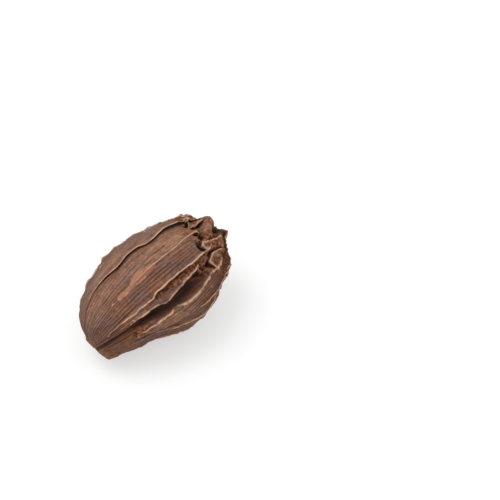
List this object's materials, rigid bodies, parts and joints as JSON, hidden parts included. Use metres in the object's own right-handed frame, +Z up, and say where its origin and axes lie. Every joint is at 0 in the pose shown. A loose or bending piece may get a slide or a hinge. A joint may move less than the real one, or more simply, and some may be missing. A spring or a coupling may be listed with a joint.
{
  "type": "black cardamom pod",
  "caption": "Whole dried spice pod lying on its side, egg-shaped, with ragged lengthwise wings, fine ribs, a deep furrow and a crumpled crown.",
  "frame": {"origin": "on the surface the pod lies on, below the middle of its box", "axes": "+X from the narrow tip to the crumpled crown, +Z up, the deep furrow on the -Y side of the top"},
  "size_m": [0.0266, 0.0184, 0.0172],
  "materials": {
    "husk": "dry, matt, ribbed husk, dark brown with paler crests"
  },
  "bodies": {
    "root": {"pod": "husk"}
  },
  "joints": []
}
